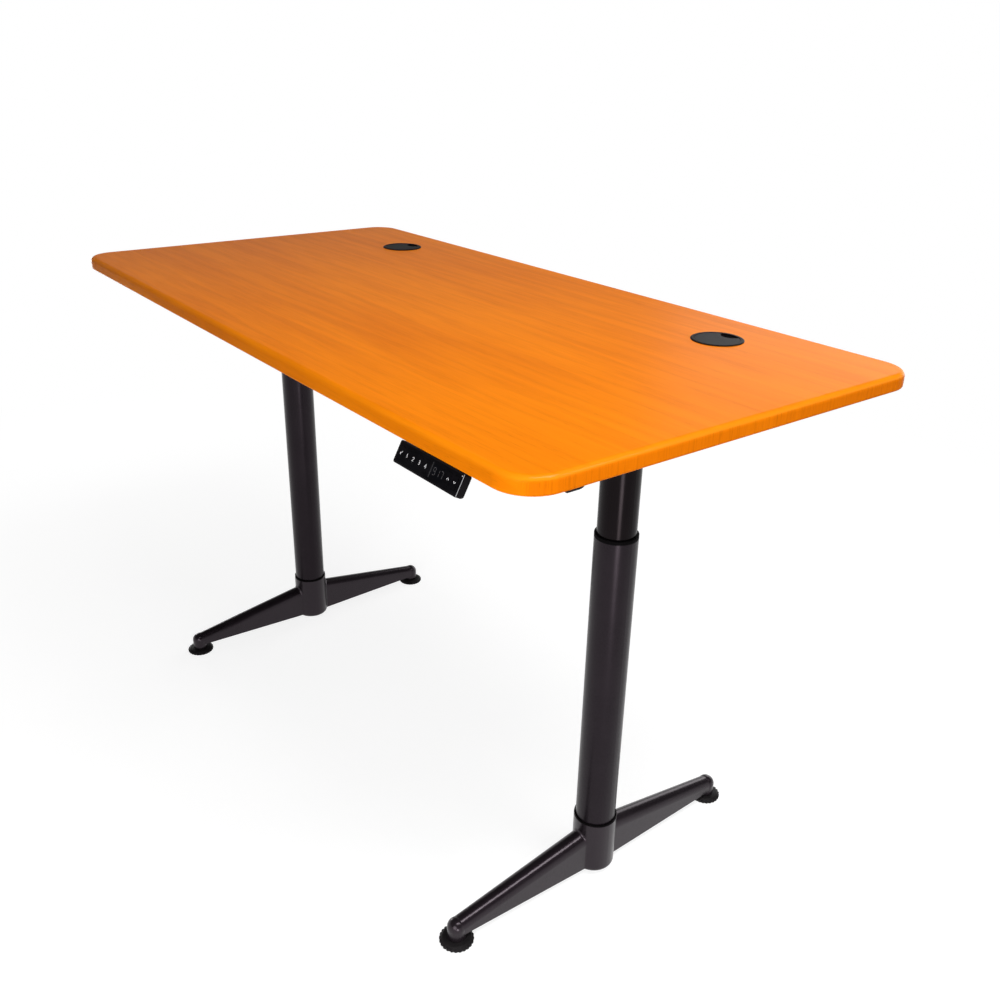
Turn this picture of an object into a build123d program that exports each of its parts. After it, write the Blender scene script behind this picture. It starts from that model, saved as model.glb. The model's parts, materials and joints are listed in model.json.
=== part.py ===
"""Height adjustable standing desk: cast T feet, telescopic columns, steel under-frame and a laminate top."""

import os
from math import cos, hypot, radians, sin

from build123d import *

os.makedirs("parts", exist_ok=True)

# Tabletop
top_width = 1524
top_depth = 762
top_thick = 25.4
top_height = 917  # floor to the top face, as modelled
top_shift = 6  # centre of the top behind the column axes
corner_radius = 55
top_edge_radius = 9
bottom_edge_radius = 4

# Columns
leg_spacing = 1074
outer_tube_od = 70
outer_tube_wall = 2
outer_tube_top = 658
inner_tube_od = 63
inner_tube_wall = 2
inner_tube_length = 630
slide_clearance = 0.05
assembly_clearance = 0.1
collar_lip = 6.5
collar_bevel = 1
upper_guide_length = 60
lower_guide_length = 40
lower_guide_lip = 4
tube_base_thick = 10
lift_down = 200
lift_up = 280

# Lift drive in each column
motor_od = 50
motor_length = 75
gearbox_length = 38
gearbox_bevel = 2
spindle_od = 16
thread_engaged = 30  # of the spindle in the nut at the greatest height
spindle_bevel = 1.5
spindle_journal_od = 12
spindle_journal_length = 20
nut_tube_od = 40
nut_tube_wall = 2
nut_length = 40
nut_spigot = 15
nut_gap = 7  # between nut and gearbox at the lowest height

# Feet
hub_od = 76
hub_bottom = 7
hub_top = 110.5
hub_floor = 17
hub_bottom_radius = 9
hub_top_bevel = 0.6
hub_ring = 3  # height of the trim ring on the hub's rim
arm_reach = 300
arm_root_width = 38
arm_tip_width = 30
arm_root_top = 92
arm_tip_top = 45
arm_root_bottom = 13
arm_tip_bottom = 20
arm_wall = 6
arm_root_fillet = 6
boss_margin = 1  # of the boss over the arm's width
foot_bolt_circle_od = 44
foot_bolt_sunk = 6  # depth of the pockets for the bolt heads
foot_bolt_count = 3

# Levelling glides
glide_od = 58
glide_thick = 9
glide_neck_od = 24
glide_neck = 2
glide_bevel = 2.5
stud_od = 10
stud_length = 33
stud_seat = 3

# Under-frame
side_arm_width = 86
side_arm_length = 430
side_arm_depth = 40
side_arm_end_depth = 16
side_arm_flat = 210  # full-depth stretch at the middle
sheet = 3
head_width = 76
head_length = 130
head_plate = 8.6
head_spigot = 12
crossbar_spread = 140
crossbar_width = 25
crossbar_height = 34
crossbar_wall = 2
crossbar_play = 0.3
crossbar_overlap = 160
crossbar_drop = 5  # below the underside of the top
crossbar_plate_width = 60
crossbar_plate_height = 36

# Fasteners
bolt_od = 8
bolt_head = 5
bolt_clearance = 0.2

# Cable grommets
grommet_inset_x = 284.5
grommet_inset_y = 130
grommet_hole = 80
grommet_flange_od = 87
grommet_flange = 2
grommet_wall = 2.5
grommet_depth = 22
grommet_ledge = 4
cap_play = 0.3
cap_recess = 1.2
cap_thick = 2.8
cap_skirt = 8
cap_skirt_wall = 2.5
cap_notch_width = 36
cap_notch_reach = 17  # from the cap's axis to the notch's inner end

# Control box
box_length = 260
box_depth = 110
box_height = 34
box_wall = 3
box_socket_wall = 14
box_socket_depth = 10
box_lid = 3
box_lug = 15
box_setback = 165
box_bevel = 3
mains_socket_width = 28
mains_socket_height = 20
lead_socket_width = 14
lead_socket_height = 12
lead_socket_pitch = 31
lead_sockets = 4
mains_socket_x = -94

# Handset
handset_width = 138
handset_face = 30
handset_thick = 13
handset_tilt = 28
handset_inset = 176.5
handset_reach = 12  # lower lip in front of the top's front edge
handset_gap = 0.5
handset_bevel = 2
handset_heel = 4.5  # bevel along the lower back edge
handset_corner = 3
handset_wall = 2
handset_ledge = 2
fascia_thick = 2
board_thick = 1.6
board_depth = 5
board_post_od = 5
button_width = 9
button_height = 17
button_pitch = 13.7
button_play = 0.3
button_proud = 0.3
button_travel = 0.8
button_stop = 0.2  # left over the board when pressed
button_flange = 0.6
button_flange_thick = 0.8
memory_buttons = 5
memory_first = -59.5
arrow_first = 43
display_width = 26
display_height = 17
display_centre = 21.9
bracket_width = 100
bracket_sheet = 2.5
bracket_reach = 34

# Cable clip under the right end
clip_width = 26
clip_inset_x = 34
clip_setback = 109
clip_drop = 26
clip_sheet = 3
clip_base = 38
clip_mouth = 6
clip_corner = 9

# Levels and places worked out from the sizes above
leg_x = leg_spacing / 2
sides = {"left": -leg_x, "right": leg_x}
under_z = top_height - top_thick
front_y = top_shift - top_depth / 2
rear_y = top_shift + top_depth / 2
floor_z = hub_bottom + hub_floor
outer_tube_id = outer_tube_od - 2 * outer_tube_wall
inner_tube_id = inner_tube_od - 2 * inner_tube_wall
web_z = under_z - sheet
head_z = web_z - head_plate
inner_bottom = head_z - inner_tube_length
motor_top = head_z - assembly_clearance
motor_bottom = motor_top - motor_length
gearbox_bottom = motor_bottom - gearbox_length
nut_top = gearbox_bottom - lift_down - nut_gap
nut_bottom = nut_top - nut_length
spindle_length = lift_down + lift_up + nut_gap + thread_engaged
base_top = floor_z + tube_base_thick
boss_z = glide_thick + glide_neck
boss_r = arm_tip_width / 2 + boss_margin
arm_face = leg_x - side_arm_width / 2
crossbar_z = under_z - crossbar_drop - crossbar_height / 2
crossbar_ys = {"front": -crossbar_spread / 2, "rear": crossbar_spread / 2}
crossbar_inner_width = crossbar_width - 2 * crossbar_wall - 2 * crossbar_play
crossbar_inner_height = crossbar_height - 2 * crossbar_wall - 2 * crossbar_play
grommet_y = rear_y - grommet_inset_y
grommet_x = top_width / 2 - grommet_inset_x
grommet_xs = {"left": -grommet_x, "right": grommet_x}
liner_r = grommet_hole / 2 - assembly_clearance
seat_r = liner_r - grommet_wall
cap_r = seat_r - cap_play
bore_r = seat_r - grommet_ledge
box_y = box_setback + top_shift
handset_x = top_width / 2 - handset_inset
tilt = radians(handset_tilt)
handset_up = Vector(0, sin(tilt), cos(tilt))
handset_out = Vector(0, -cos(tilt), sin(tilt))
handset_lip_y = front_y - handset_reach
handset_top = Vector(handset_x, handset_lip_y + handset_face * sin(tilt), under_z - handset_gap)
handset_mid = handset_top - handset_up * (handset_face / 2)
bracket_y = handset_top.Y + bracket_reach / 2 + handset_thick
recess_width = handset_width - 2 * handset_wall
recess_face = handset_face - 2 * handset_wall
clip_x = top_width / 2 - clip_inset_x
clip_y = front_y + clip_setback
bolt_r = bolt_od / 2
bolt_hole_r = bolt_r + bolt_clearance

# Bolt places in a column head
head_bolts = [(dx * head_width / 3, dy * head_length * 0.39) for dx in (-1, 1) for dy in (-1, 1)]


def save(builder, name):
    builder.part.label = name
    export_step(builder.part, f"parts/{name}.step")


def handset_plane(depth=0):
    """Plane parallel to the handset's face, depth behind it, with X to the right and Y up the face."""
    return Plane(handset_mid - handset_out * depth, x_dir=(1, 0, 0), z_dir=handset_out)


# Tabletop with grommet holes
with BuildPart() as tabletop:
    with BuildSketch(Plane((0, top_shift, under_z))):
        RectangleRounded(top_width, top_depth, corner_radius)
    extrude(amount=top_thick)
    fillet(tabletop.faces().sort_by(Axis.Z)[-1].edges(), top_edge_radius)
    fillet(tabletop.faces().sort_by(Axis.Z)[0].edges(), bottom_edge_radius)
    with BuildSketch(Plane.XY.offset(under_z)):
        with Locations(*[(x, grommet_y) for x in grommet_xs.values()]):
            Circle(grommet_hole / 2)
    extrude(amount=top_thick, mode=Mode.SUBTRACT)
save(tabletop, "tabletop")

# Grommet liners and their turning caps
for side, x in grommet_xs.items():
    with BuildPart() as liner:
        with BuildSketch(Plane((x, grommet_y, top_height), x_dir=(1, 0, 0), z_dir=(0, -1, 0))):
            with BuildLine():
                Polyline(
                    (bore_r, -grommet_depth),
                    (liner_r, -grommet_depth),
                    (liner_r, 0),
                    (grommet_flange_od / 2, 0),
                    (grommet_flange_od / 2, grommet_flange / 2),
                    (grommet_flange_od / 2 - grommet_flange, grommet_flange),
                    (seat_r, grommet_flange),
                    (seat_r, -cap_recess),
                    (bore_r, -cap_recess),
                    close=True,
                )
            make_face()
        revolve(axis=Axis((x, grommet_y, 0), (0, 0, 1)))
    save(liner, f"grommet_liner_{side}")

    with BuildPart() as cap:
        with BuildSketch(Plane((x, grommet_y, top_height - cap_recess))):
            Circle(cap_r)
        extrude(amount=cap_thick)
        chamfer(cap.faces().sort_by(Axis.Z)[-1].edges(), cap_thick / 4)
        with BuildSketch(Plane((x, grommet_y, top_height - cap_recess))):
            Circle(bore_r - cap_play)
            Circle(bore_r - cap_play - cap_skirt_wall, mode=Mode.SUBTRACT)
        extrude(amount=-cap_skirt)
        with BuildSketch(Plane((x, grommet_y, top_height + cap_thick))):
            with Locations((0, cap_notch_reach + cap_notch_width / 2)):
                Circle(cap_notch_width / 2)
            with Locations((0, cap_notch_reach + cap_notch_width / 2 + cap_r / 2)):
                Rectangle(cap_notch_width, cap_r)
        extrude(amount=-2 * (cap_thick + cap_skirt), mode=Mode.SUBTRACT)
    save(cap, f"grommet_cap_{side}")

# Side arms: folded channels under the top, open downwards around the column heads
for side, x in sides.items():
    with BuildPart() as side_arm:
        with BuildSketch(Plane((x - side_arm_width / 2, 0, under_z), x_dir=(0, 1, 0), z_dir=(1, 0, 0))):
            with BuildLine():
                Polyline(
                    (-side_arm_length / 2, 0),
                    (side_arm_length / 2, 0),
                    (side_arm_length / 2, -side_arm_end_depth),
                    (side_arm_flat / 2, -side_arm_depth),
                    (-side_arm_flat / 2, -side_arm_depth),
                    (-side_arm_length / 2, -side_arm_end_depth),
                    close=True,
                )
            make_face()
        extrude(amount=side_arm_width)
        fillet(side_arm.edges().filter_by(Axis.Y).group_by(Axis.Z)[-1], sheet * 0.9)
        with BuildSketch(Plane((x, 0, web_z))):
            Rectangle(side_arm_width - 2 * sheet, side_arm_length + 2)
        extrude(amount=-side_arm_depth, mode=Mode.SUBTRACT)
        with BuildSketch(Plane((x, 0, web_z))):
            with Locations(*head_bolts):
                Circle(bolt_hole_r)
        extrude(amount=sheet, mode=Mode.SUBTRACT)
    save(side_arm, f"side_arm_{side}")

# Crossbars: the outer half is fixed to the left arm, the inner half slides into it from the right arm
for place, y in crossbar_ys.items():
    for half, end, width, height in (
        ("outer", -1, crossbar_width, crossbar_height),
        ("inner", 1, crossbar_inner_width, crossbar_inner_height),
    ):
        with BuildPart() as crossbar:
            with BuildSketch(Plane((end * arm_face, y, crossbar_z), x_dir=(0, 1, 0), z_dir=(-end, 0, 0))):
                Rectangle(crossbar_plate_width, crossbar_plate_height)
            extrude(amount=sheet)
            with BuildSketch(Plane((end * arm_face, y, crossbar_z), x_dir=(0, 1, 0), z_dir=(-end, 0, 0))):
                Rectangle(width, height)
            extrude(amount=arm_face + crossbar_overlap / 2)
            long_edges = crossbar.edges().filter_by(Axis.X).filter_by(lambda e: e.length > arm_face)
            chamfer(long_edges, crossbar_wall / 2)
            plate_face = Plane((end * (arm_face - sheet), y, crossbar_z), x_dir=(0, 1, 0), z_dir=(-end, 0, 0))
            with BuildSketch(plate_face):
                Rectangle(width - 2 * crossbar_wall, height - 2 * crossbar_wall)
            extrude(amount=arm_face + crossbar_overlap, mode=Mode.SUBTRACT)
        save(crossbar, f"crossbar_{half}_{place}")

# Column heads: flanged castings bolted up into the arms, with a spigot in the inner tube
for side, x in sides.items():
    with BuildPart() as head:
        with BuildSketch(Plane((x, 0, head_z))):
            Rectangle(head_width, head_length)
            with Locations(*head_bolts):
                Circle(bolt_hole_r, mode=Mode.SUBTRACT)
        extrude(amount=head_plate)
        with BuildSketch(Plane((x, 0, head_z))):
            Circle(inner_tube_id / 2 - assembly_clearance)
            Circle(motor_od / 2 + assembly_clearance, mode=Mode.SUBTRACT)
        extrude(amount=-head_spigot)
    save(head, f"column_head_{side}")

with BuildPart() as head_bolt_set:
    for x in sides.values():
        with BuildSketch(Plane((x, 0, head_z))):
            with Locations(*head_bolts):
                Circle(bolt_r)
        extrude(amount=under_z - head_z)
        with BuildSketch(Plane((x, 0, head_z))):
            with Locations(*head_bolts):
                RegularPolygon(bolt_od * 0.92, 6)
        extrude(amount=-bolt_head)
save(head_bolt_set, "column_head_bolts")

# Telescopic columns with their guides and lift drives
for side, x in sides.items():
    with BuildPart() as inner_tube:
        with BuildSketch(Plane((x, 0, inner_bottom))):
            Circle(inner_tube_od / 2)
            Circle(inner_tube_id / 2, mode=Mode.SUBTRACT)
        extrude(amount=inner_tube_length)
    save(inner_tube, f"inner_tube_{side}")

    with BuildPart() as outer_tube:
        with BuildSketch(Plane((x, 0, floor_z))):
            Circle(outer_tube_od / 2)
            Circle(outer_tube_id / 2, mode=Mode.SUBTRACT)
        extrude(amount=outer_tube_top - floor_z)
    save(outer_tube, f"outer_tube_{side}")

    with BuildPart() as collar:
        with BuildSketch(Plane((x, 0, outer_tube_top))):
            Circle(outer_tube_od / 2)
        extrude(amount=collar_lip)
        chamfer(collar.faces().sort_by(Axis.Z)[-1].edges(), collar_bevel)
        with BuildSketch(Plane((x, 0, outer_tube_top))):
            Circle(outer_tube_id / 2 - slide_clearance)
        extrude(amount=-upper_guide_length)
        with BuildSketch(Plane((x, 0, outer_tube_top + collar_lip))):
            Circle(inner_tube_od / 2 + slide_clearance)
        extrude(amount=-collar_lip - upper_guide_length, mode=Mode.SUBTRACT)
    save(collar, f"guide_collar_{side}")

    with BuildPart() as lower_guide:
        with BuildSketch(Plane((x, 0, inner_bottom - lower_guide_lip))):
            Circle(outer_tube_id / 2 - slide_clearance)
            Circle(inner_tube_id / 2, mode=Mode.SUBTRACT)
        extrude(amount=lower_guide_lip)
        with BuildSketch(Plane((x, 0, inner_bottom))):
            Circle(outer_tube_id / 2 - slide_clearance)
            Circle(inner_tube_od / 2 + slide_clearance, mode=Mode.SUBTRACT)
        extrude(amount=lower_guide_length)
    save(lower_guide, f"lower_guide_{side}")

    with BuildPart() as motor:
        with BuildSketch(Plane((x, 0, motor_bottom))):
            Circle(motor_od / 2)
        extrude(amount=motor_length)
        with BuildSketch(Plane((x, 0, gearbox_bottom))):
            Circle(inner_tube_id / 2 - assembly_clearance)
        extrude(amount=gearbox_length)
        chamfer(motor.faces().sort_by(Axis.Z)[0].edges(), gearbox_bevel)
        with BuildSketch(Plane((x, 0, gearbox_bottom))):
            Circle(spindle_journal_od / 2 + slide_clearance)
        extrude(amount=spindle_journal_length + 1, mode=Mode.SUBTRACT)
    save(motor, f"lift_motor_{side}")

    with BuildPart() as spindle:
        with BuildSketch(Plane((x, 0, gearbox_bottom))):
            Circle(spindle_od / 2)
        extrude(amount=-spindle_length)
        chamfer(spindle.faces().sort_by(Axis.Z)[0].edges(), spindle_bevel)
        with BuildSketch(Plane((x, 0, gearbox_bottom))):
            Circle(spindle_journal_od / 2)
        extrude(amount=spindle_journal_length)
    save(spindle, f"spindle_{side}")

    with BuildPart() as nut:
        with BuildSketch(Plane((x, 0, nut_bottom))):
            Circle(nut_tube_od / 2)
        extrude(amount=nut_length)
        with BuildSketch(Plane((x, 0, nut_bottom))):
            Circle(nut_tube_od / 2 - nut_tube_wall - assembly_clearance)
        extrude(amount=-nut_spigot)
        with BuildSketch(Plane((x, 0, nut_top))):
            Circle(spindle_od / 2 + slide_clearance)
        extrude(amount=-nut_length - nut_spigot, mode=Mode.SUBTRACT)
    save(nut, f"spindle_nut_{side}")

    with BuildPart() as nut_tube:
        with BuildSketch(Plane((x, 0, base_top))):
            Circle(nut_tube_od / 2)
            Circle(nut_tube_od / 2 - nut_tube_wall, mode=Mode.SUBTRACT)
        extrude(amount=nut_bottom - base_top)
    save(nut_tube, f"nut_tube_{side}")

    with BuildPart() as tube_base:
        with BuildSketch(Plane((x, 0, floor_z))):
            Circle(outer_tube_id / 2 - assembly_clearance)
            with PolarLocations(foot_bolt_circle_od / 2, foot_bolt_count, 90):
                Circle(bolt_hole_r, mode=Mode.SUBTRACT)
        extrude(amount=tube_base_thick)
    save(tube_base, f"column_base_{side}")


# Feet: cast hub with two tapered arms, hollow underneath, and a domed boss over each glide
core_root = hub_od / 2 + arm_wall
core_tip = arm_reach - arm_tip_width / 2 - arm_wall
core_width = arm_tip_width - 2 * arm_wall
core_roof = 1.4 * arm_wall


def along(reach, root, tip):
    """Size at a reach along the arm, between its value at the hub's axis and at the glide."""
    return root + (tip - root) * reach / arm_reach


def on_hub(edge):
    """Whether an edge lies where an arm runs into the hub's side, above its rounded base."""
    middle = edge.center()
    seam_x = abs(middle.X) - leg_x
    return hypot(seam_x, middle.Y) < hub_od / 2 + 1 and middle.Z > hub_bottom + hub_bottom_radius


arm_skin = [
    (0, arm_root_width, arm_root_top, arm_root_bottom),
    (arm_reach, arm_tip_width, arm_tip_top - boss_margin, arm_tip_bottom),
]
for side, x in sides.items():
    with BuildPart() as foot:
        with BuildSketch(Plane((x, 0, hub_bottom))):
            Circle(hub_od / 2)
        extrude(amount=hub_top - hub_bottom)
        fillet(foot.faces().sort_by(Axis.Z)[0].edges(), hub_bottom_radius)
        chamfer(foot.faces().sort_by(Axis.Z)[-1].edges(), hub_top_bevel)
        for way in (-1, 1):
            for reach, width, arm_top, arm_bottom in arm_skin:
                shoulder = arm_top - width / 2
                with BuildSketch(Plane((x, way * reach, 0), x_dir=(1, 0, 0), z_dir=(0, -1, 0))):
                    with BuildLine():
                        Polyline(
                            (-width / 2, shoulder),
                            (-width / 2, arm_bottom),
                            (width / 2, arm_bottom),
                            (width / 2, shoulder),
                        )
                        ThreePointArc((width / 2, shoulder), (0, arm_top), (-width / 2, shoulder))
                    make_face()
            loft()
        hub_seams = foot.edges().filter_by(GeomType.BSPLINE).filter_by(on_hub)
        fillet(hub_seams, arm_root_fillet)
        for way in (-1, 1):
            with BuildSketch(Plane((x - core_width / 2, 0, 0), x_dir=(0, 1, 0), z_dir=(1, 0, 0))):
                with BuildLine():
                    Polyline(
                        (way * core_root, 0),
                        (way * core_root, along(core_root, arm_root_top, arm_tip_top) - core_roof),
                        (way * core_tip, along(core_tip, arm_root_top, arm_tip_top) - core_roof),
                        (way * core_tip, 0),
                        close=True,
                    )
                make_face()
            extrude(amount=core_width, mode=Mode.SUBTRACT)
        for way in (-1, 1):
            with BuildSketch(Plane((x, way * arm_reach, boss_z))):
                Circle(boss_r)
            extrude(amount=arm_tip_top - boss_r - boss_z)
            with Locations((x, way * arm_reach, arm_tip_top - boss_r)):
                Sphere(boss_r)
            with BuildSketch(Plane((x, way * arm_reach, boss_z))):
                Circle(stud_od / 2 + slide_clearance)
            extrude(amount=stud_seat + stud_length - boss_z + 1, mode=Mode.SUBTRACT)
        with BuildSketch(Plane((x, 0, hub_top))):
            Circle(outer_tube_od / 2 + assembly_clearance)
        extrude(amount=floor_z - hub_top, mode=Mode.SUBTRACT)
        with BuildSketch(Plane((x, 0, floor_z))):
            with PolarLocations(foot_bolt_circle_od / 2, foot_bolt_count, 90):
                Circle(bolt_hole_r)
        extrude(amount=-hub_floor, mode=Mode.SUBTRACT)
        with BuildSketch(Plane((x, 0, hub_bottom))):
            with PolarLocations(foot_bolt_circle_od / 2, foot_bolt_count, 90):
                Circle(bolt_od * 0.94)
        extrude(amount=foot_bolt_sunk, mode=Mode.SUBTRACT)
    save(foot, f"foot_{side}")

    with BuildPart() as trim_ring:
        with BuildSketch(Plane((x, 0, hub_top))):
            Circle(hub_od / 2 - hub_top_bevel)
            Circle(outer_tube_od / 2 + assembly_clearance, mode=Mode.SUBTRACT)
        extrude(amount=hub_ring)
    save(trim_ring, f"hub_ring_{side}")

with BuildPart() as foot_bolts:
    for x in sides.values():
        with BuildSketch(Plane((x, 0, hub_bottom + foot_bolt_sunk))):
            with PolarLocations(foot_bolt_circle_od / 2, foot_bolt_count, 90):
                Circle(bolt_r)
        extrude(amount=hub_floor - foot_bolt_sunk + tube_base_thick - 1)
        with BuildSketch(Plane((x, 0, hub_bottom + foot_bolt_sunk))):
            with PolarLocations(foot_bolt_circle_od / 2, foot_bolt_count, 90):
                RegularPolygon(bolt_od * 0.92, 6)
        extrude(amount=-bolt_head)
save(foot_bolts, "foot_bolts")

# Levelling glides: a bevelled pad moulded around a threaded stud
for side, x in sides.items():
    for place, y in (("front", -arm_reach), ("rear", arm_reach)):
        with BuildPart() as pad:
            with BuildSketch(Plane((x, y, 0))):
                Circle(glide_od / 2)
            extrude(amount=glide_thick)
            chamfer(pad.faces().sort_by(Axis.Z)[-1].edges(), glide_bevel)
            with BuildSketch(Plane((x, y, glide_thick))):
                Circle(glide_neck_od / 2)
            extrude(amount=glide_neck)
            with BuildSketch(Plane((x, y, stud_seat))):
                Circle(stud_od / 2)
            extrude(amount=glide_thick + glide_neck, mode=Mode.SUBTRACT)
        save(pad, f"glide_pad_{place}_{side}")

        with BuildPart() as stud:
            with BuildSketch(Plane((x, y, stud_seat))):
                Circle(stud_od / 2)
            extrude(amount=stud_length)
        save(stud, f"glide_stud_{place}_{side}")

# Control box: lugged lid against the top and a case hung from it, with its sockets to the front
with BuildPart() as box_lid_part:
    with BuildSketch(Plane((0, box_y, under_z))):
        Rectangle(box_length + 2 * box_lug, box_depth)
    extrude(amount=-box_lid)
save(box_lid_part, "control_box_lid")

with BuildPart() as box_case:
    with BuildSketch(Plane((0, box_y, under_z - box_lid))):
        Rectangle(box_length, box_depth)
    extrude(amount=-box_height)
    chamfer(box_case.faces().sort_by(Axis.Z)[0].edges(), box_bevel)
    with BuildSketch(Plane((0, box_y + (box_socket_wall - box_wall) / 2, under_z - box_lid))):
        Rectangle(box_length - 2 * box_wall, box_depth - box_wall - box_socket_wall)
    extrude(amount=box_wall - box_height, mode=Mode.SUBTRACT)
    socket_face = Plane(
        (0, box_y - box_depth / 2, under_z - box_lid - box_height / 2), x_dir=(1, 0, 0), z_dir=(0, -1, 0)
    )
    with BuildSketch(socket_face):
        with Locations((mains_socket_x, 0)):
            Rectangle(mains_socket_width, mains_socket_height)
        with GridLocations(lead_socket_pitch, 0, lead_sockets, 1):
            Rectangle(lead_socket_width, lead_socket_height)
    extrude(amount=-box_socket_depth, mode=Mode.SUBTRACT)
save(box_case, "control_box_case")

# Handset: tilted case under the front edge, fascia, display, board and bracket
with BuildPart() as handset_case:
    with BuildSketch(handset_plane()):
        RectangleRounded(handset_width, handset_face, handset_corner)
    extrude(amount=-handset_thick)
    chamfer(handset_case.faces().sort_by(Axis((0, 0, 0), tuple(handset_out)))[0].edges(), handset_bevel)
    left_end = handset_mid - Vector(handset_width / 2, 0, 0)
    with BuildSketch(Plane(left_end, x_dir=-handset_out, z_dir=(1, 0, 0))):
        with BuildLine():
            Polyline(
                (handset_thick - handset_heel, -handset_face / 2),
                (handset_thick, -handset_face / 2),
                (handset_thick, handset_heel - handset_face / 2),
                close=True,
            )
        make_face()
    extrude(amount=handset_width, mode=Mode.SUBTRACT)
    with BuildSketch(handset_plane()):
        Rectangle(recess_width, recess_face)
    extrude(amount=-fascia_thick, mode=Mode.SUBTRACT)
    with BuildSketch(handset_plane()):
        Rectangle(recess_width - 2 * handset_ledge, recess_face - 2 * handset_ledge)
    extrude(amount=handset_wall - handset_thick, mode=Mode.SUBTRACT)
    with BuildSketch(handset_plane(handset_thick - handset_wall)):
        with GridLocations(handset_width * 0.8, handset_face * 0.4, 2, 2):
            Circle(board_post_od / 2)
    extrude(amount=handset_thick - handset_wall - board_depth - board_thick)
save(handset_case, "handset_case")

memory_xs = [memory_first + i * button_pitch for i in range(memory_buttons)]
arrow_xs = [arrow_first, arrow_first + button_pitch]
with BuildPart() as fascia:
    with BuildSketch(handset_plane()):
        Rectangle(recess_width - 2 * assembly_clearance, recess_face - 2 * assembly_clearance)
        with Locations(*[(x, 0) for x in memory_xs + arrow_xs]):
            Rectangle(button_width + 2 * button_play, button_height + 2 * button_play, mode=Mode.SUBTRACT)
        with Locations((display_centre, 0)):
            Rectangle(display_width, display_height, mode=Mode.SUBTRACT)
    extrude(amount=-fascia_thick)
save(fascia, "handset_fascia")

with BuildPart() as display:
    with BuildSketch(handset_plane()):
        with Locations((display_centre, 0)):
            Rectangle(display_width - 2 * assembly_clearance, display_height - 2 * assembly_clearance)
    extrude(amount=-board_depth)
save(display, "handset_display")

with BuildPart() as board:
    with BuildSketch(handset_plane(board_depth)):
        Rectangle(
            recess_width - 2 * handset_ledge - 2 * button_play,
            recess_face - 2 * handset_ledge - 2 * button_play,
        )
    extrude(amount=-board_thick)
save(board, "handset_board")

button_names = ["store", "one", "two", "three", "four", "up", "down"]
for name, x in zip(button_names, memory_xs + arrow_xs):
    with BuildPart() as button:
        with BuildSketch(handset_plane(-button_proud)):
            with Locations((x, 0)):
                Rectangle(button_width, button_height)
        extrude(amount=-button_proud - board_depth + button_travel + button_stop)
        with BuildSketch(handset_plane(fascia_thick)):
            with Locations((x, 0)):
                Rectangle(button_width + 2 * button_flange, button_height + 2 * button_flange)
        extrude(amount=-button_flange_thick)
    save(button, f"button_{name}")

with BuildPart() as bracket:
    back = handset_mid - handset_out * handset_thick
    foot_point = back - handset_up * (handset_face * 0.3)
    bend = back + handset_up * ((under_z - back.Z) / cos(tilt))
    inner_bend_y = bend.Y + bracket_sheet * (1 - sin(tilt)) / cos(tilt)
    with BuildSketch(Plane((handset_x - bracket_width / 2, 0, 0), x_dir=(0, 1, 0), z_dir=(1, 0, 0))):
        with BuildLine():
            Polyline(
                (foot_point.Y, foot_point.Z),
                (bend.Y, bend.Z),
                (bracket_y + bracket_reach / 2, under_z),
                (bracket_y + bracket_reach / 2, under_z - bracket_sheet),
                (inner_bend_y, under_z - bracket_sheet),
                (foot_point.Y + bracket_sheet * cos(tilt), foot_point.Z - bracket_sheet * sin(tilt)),
                close=True,
            )
        make_face()
    extrude(amount=bracket_width)
save(bracket, "handset_bracket")

# Cable clip: screwed base with a curled finger, rounded at its lower corners
clip_r = (clip_drop - clip_sheet) / 2
with BuildPart() as clip:
    with BuildSketch(Plane((clip_x, clip_y + clip_width / 2, under_z), x_dir=(1, 0, 0), z_dir=(0, -1, 0))):
        with Locations((-clip_base / 2, -clip_sheet / 2)):
            Rectangle(clip_base, clip_sheet)
        with Locations((-clip_r, -clip_sheet / 2 - clip_r)):
            Circle(clip_r + clip_sheet / 2)
            Circle(clip_r - clip_sheet / 2, mode=Mode.SUBTRACT)
        with Locations((-2 * clip_r, -clip_sheet / 2 - clip_r)):
            Rectangle(clip_r, clip_mouth, mode=Mode.SUBTRACT)
    extrude(amount=clip_width)
    clip_side = Plane((clip_x - clip_base, clip_y, under_z), x_dir=(0, 1, 0), z_dir=(1, 0, 0))
    with BuildSketch(clip_side) as clip_outline:
        with Locations((0, -clip_drop / 2)):
            Rectangle(clip_width, clip_drop)
        fillet(clip_outline.vertices().group_by(Axis.Z)[0], clip_corner)
    extrude(amount=clip_base + clip_drop, mode=Mode.INTERSECT)
save(clip, "cable_clip")
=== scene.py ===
import json
from math import cos, pi, radians, sin, tau

import bmesh
import bpy
from mathutils import Matrix, Vector


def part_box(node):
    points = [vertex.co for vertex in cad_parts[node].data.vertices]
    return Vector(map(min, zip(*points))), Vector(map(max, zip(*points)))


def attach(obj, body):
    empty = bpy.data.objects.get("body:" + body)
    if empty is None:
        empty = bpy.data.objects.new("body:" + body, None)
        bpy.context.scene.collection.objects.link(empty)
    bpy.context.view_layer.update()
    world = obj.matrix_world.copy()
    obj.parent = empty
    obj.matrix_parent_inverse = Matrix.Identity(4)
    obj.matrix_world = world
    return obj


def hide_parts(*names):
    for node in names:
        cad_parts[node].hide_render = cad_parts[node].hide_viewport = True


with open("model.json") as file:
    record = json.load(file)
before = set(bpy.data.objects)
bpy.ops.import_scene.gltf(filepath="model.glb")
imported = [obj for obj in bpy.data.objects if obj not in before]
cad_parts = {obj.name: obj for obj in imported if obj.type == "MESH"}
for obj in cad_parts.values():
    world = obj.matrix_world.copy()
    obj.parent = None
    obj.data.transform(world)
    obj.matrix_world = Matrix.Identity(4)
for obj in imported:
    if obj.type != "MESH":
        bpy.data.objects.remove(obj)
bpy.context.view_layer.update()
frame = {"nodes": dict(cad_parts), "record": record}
scene = bpy.context.scene
mm = 0.001
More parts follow.
